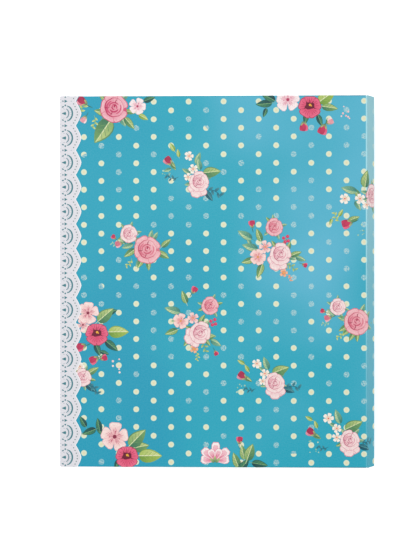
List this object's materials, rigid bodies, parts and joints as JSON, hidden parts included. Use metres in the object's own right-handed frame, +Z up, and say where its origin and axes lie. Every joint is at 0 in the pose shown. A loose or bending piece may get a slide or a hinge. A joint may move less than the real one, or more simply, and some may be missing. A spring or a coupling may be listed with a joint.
{
  "type": "scrapbook album",
  "caption": "Ring-bound scrapbook album: printed hard covers with a lace border, creased hinges, an opening ring set with end levers, and clear page sleeves with cards.",
  "frame": {"origin": "under the middle of the closed album, on the surface the back cover lies on", "axes": "+Z up through the front cover, +Y to the head of the album, +X to the spine, -X to the fore edge"},
  "size_m": [0.2536, 0.298, 0.0481],
  "materials": {
    "printed_paper": "satin printed paper, teal with dots, flowers and a lace border",
    "greyboard": "matt greyboard",
    "lining_paper": "matt cream lining paper",
    "hinge_cloth": "fine woven book cloth",
    "nickel_steel": "bright nickel plate on steel",
    "spring_steel": "rolled spring steel",
    "clear_film": "clear polypropylene film",
    "page_card": "matt white card"
  },
  "bodies": {
    "back_cover": {"back_wrap": "printed_paper", "back_board": "greyboard", "back_lining": "lining_paper"},
    "back_hinge": {"back_hinge_wrap": "printed_paper", "back_hinge_lining": "hinge_cloth"},
    "spine": {"spine_wrap": "printed_paper", "spine_board": "greyboard", "spine_lining": "lining_paper", "ring_plate": "nickel_steel", "head_rivet": "nickel_steel", "tail_rivet": "nickel_steel"},
    "front_hinge": {"front_hinge_wrap": "printed_paper", "front_hinge_lining": "hinge_cloth"},
    "front_cover": {"front_wrap": "printed_paper", "front_board": "greyboard", "front_lining": "lining_paper"},
    "upper_rings": {"upper_blade": "spring_steel", "upper_ring_tail": "nickel_steel", "upper_ring_middle": "nickel_steel", "upper_ring_head": "nickel_steel"},
    "lower_rings": {"lower_blade": "spring_steel", "lower_ring_tail": "nickel_steel", "lower_ring_middle": "nickel_steel", "lower_ring_head": "nickel_steel"},
    "head_lever": {"head_lever": "nickel_steel"},
    "tail_lever": {"tail_lever": "nickel_steel"},
    "page_01": {"page_sleeve_01": "clear_film", "page_card_01": "page_card"},
    "page_02": {"page_sleeve_02": "clear_film", "page_card_02": "page_card"},
    "page_03": {"page_sleeve_03": "clear_film", "page_card_03": "page_card"},
    "page_04": {"page_sleeve_04": "clear_film", "page_card_04": "page_card"},
    "page_05": {"page_sleeve_05": "clear_film", "page_card_05": "page_card"},
    "page_06": {"page_sleeve_06": "clear_film", "page_card_06": "page_card"},
    "page_07": {"page_sleeve_07": "clear_film", "page_card_07": "page_card"},
    "page_08": {"page_sleeve_08": "clear_film", "page_card_08": "page_card"},
    "page_09": {"page_sleeve_09": "clear_film", "page_card_09": "page_card"},
    "page_10": {"page_sleeve_10": "clear_film", "page_card_10": "page_card"}
  },
  "joints": [
    {"name": "back_crease", "type": "hinge", "parent": "back_cover", "child": "back_hinge", "pos_m": [0.11955, 0, 0], "axis": [0, 1, 0], "range_deg": [0, 53]},
    {"name": "back_spine_crease", "type": "hinge", "parent": "back_hinge", "child": "spine", "pos_m": [0.12677, 0, 0.00958], "axis": [0, 1, 0], "range_deg": [0, 37]},
    {"name": "front_spine_crease", "type": "hinge", "parent": "spine", "child": "front_hinge", "pos_m": [0.12677, 0, 0.03852], "axis": [0, 1, 0], "range_deg": [0, 37]},
    {"name": "front_crease", "type": "hinge", "parent": "front_hinge", "child": "front_cover", "pos_m": [0.11955, 0, 0.0481], "axis": [0, 1, 0], "range_deg": [0, 54.3]},
    {"name": "ring_open", "type": "hinge", "parent": "spine", "child": "upper_rings", "pos_m": [0.12122, 0, 0.03185], "axis": [0, 1, 0], "range_deg": [0, 12]},
    {"name": "lower_ring_open", "type": "hinge", "parent": "spine", "child": "lower_rings", "pos_m": [0.12122, 0, 0.01625], "axis": [0, -1, 0], "range_deg": [0, 12]},
    {"name": "head_lever_press", "type": "hinge", "parent": "spine", "child": "head_lever", "pos_m": [0.12183, 0.138, 0.02405], "axis": [0, 0, -1], "range_deg": [0, 24]},
    {"name": "tail_lever_press", "type": "hinge", "parent": "spine", "child": "tail_lever", "pos_m": [0.12183, -0.138, 0.02405], "axis": [0, 0, 1], "range_deg": [0, 24]},
    {"name": "page_01_turn", "type": "hinge", "parent": "spine", "child": "page_01", "pos_m": [0.10333, 0, 0.02405], "axis": [0, 1, 0], "range_deg": [-89.1, 0]},
    {"name": "page_02_turn", "type": "hinge", "parent": "spine", "child": "page_02", "pos_m": [0.10333, 0, 0.02405], "axis": [0, 1, 0], "range_deg": [-88.2, 0]},
    {"name": "page_03_turn", "type": "hinge", "parent": "spine", "child": "page_03", "pos_m": [0.10333, 0, 0.02405], "axis": [0, 1, 0], "range_deg": [-87.3, 0]},
    {"name": "page_04_turn", "type": "hinge", "parent": "spine", "child": "page_04", "pos_m": [0.10333, 0, 0.02405], "axis": [0, 1, 0], "range_deg": [-86.4, 0]},
    {"name": "page_05_turn", "type": "hinge", "parent": "spine", "child": "page_05", "pos_m": [0.10333, 0, 0.02405], "axis": [0, 1, 0], "range_deg": [-85.5, 0]},
    {"name": "page_06_turn", "type": "hinge", "parent": "spine", "child": "page_06", "pos_m": [0.10333, 0, 0.02405], "axis": [0, 1, 0], "range_deg": [0, 91.4]},
    {"name": "page_07_turn", "type": "hinge", "parent": "spine", "child": "page_07", "pos_m": [0.10333, 0, 0.02405], "axis": [0, 1, 0], "range_deg": [0, 92.8]},
    {"name": "page_08_turn", "type": "hinge", "parent": "spine", "child": "page_08", "pos_m": [0.10333, 0, 0.02405], "axis": [0, 1, 0], "range_deg": [0, 94.2]},
    {"name": "page_09_turn", "type": "hinge", "parent": "spine", "child": "page_09", "pos_m": [0.10333, 0, 0.02405], "axis": [0, 1, 0], "range_deg": [0, 95.6]},
    {"name": "page_10_turn", "type": "hinge", "parent": "spine", "child": "page_10", "pos_m": [0.10333, 0, 0.02405], "axis": [0, 1, 0], "range_deg": [0, 97]}
  ],
  "couplings": [
    {"joint": "back_spine_crease", "follows": "back_crease", "ratio": 0.69811},
    {"joint": "front_spine_crease", "follows": "front_crease", "ratio": 0.6814},
    {"joint": "lower_ring_open", "follows": "ring_open", "ratio": 1},
    {"joint": "head_lever_press", "follows": "ring_open", "ratio": 2},
    {"joint": "tail_lever_press", "follows": "ring_open", "ratio": 2},
    {"joint": "page_01_turn", "follows": "back_crease", "ratio": -1.6811},
    {"joint": "page_02_turn", "follows": "back_crease", "ratio": -1.6642},
    {"joint": "page_03_turn", "follows": "back_crease", "ratio": -1.6472},
    {"joint": "page_04_turn", "follows": "back_crease", "ratio": -1.6302},
    {"joint": "page_05_turn", "follows": "back_crease", "ratio": -1.6132},
    {"joint": "page_06_turn", "follows": "front_crease", "ratio": 1.6832},
    {"joint": "page_07_turn", "follows": "front_crease", "ratio": 1.709},
    {"joint": "page_08_turn", "follows": "front_crease", "ratio": 1.7348},
    {"joint": "page_09_turn", "follows": "front_crease", "ratio": 1.7606},
    {"joint": "page_10_turn", "follows": "front_crease", "ratio": 1.7864}
  ]
}
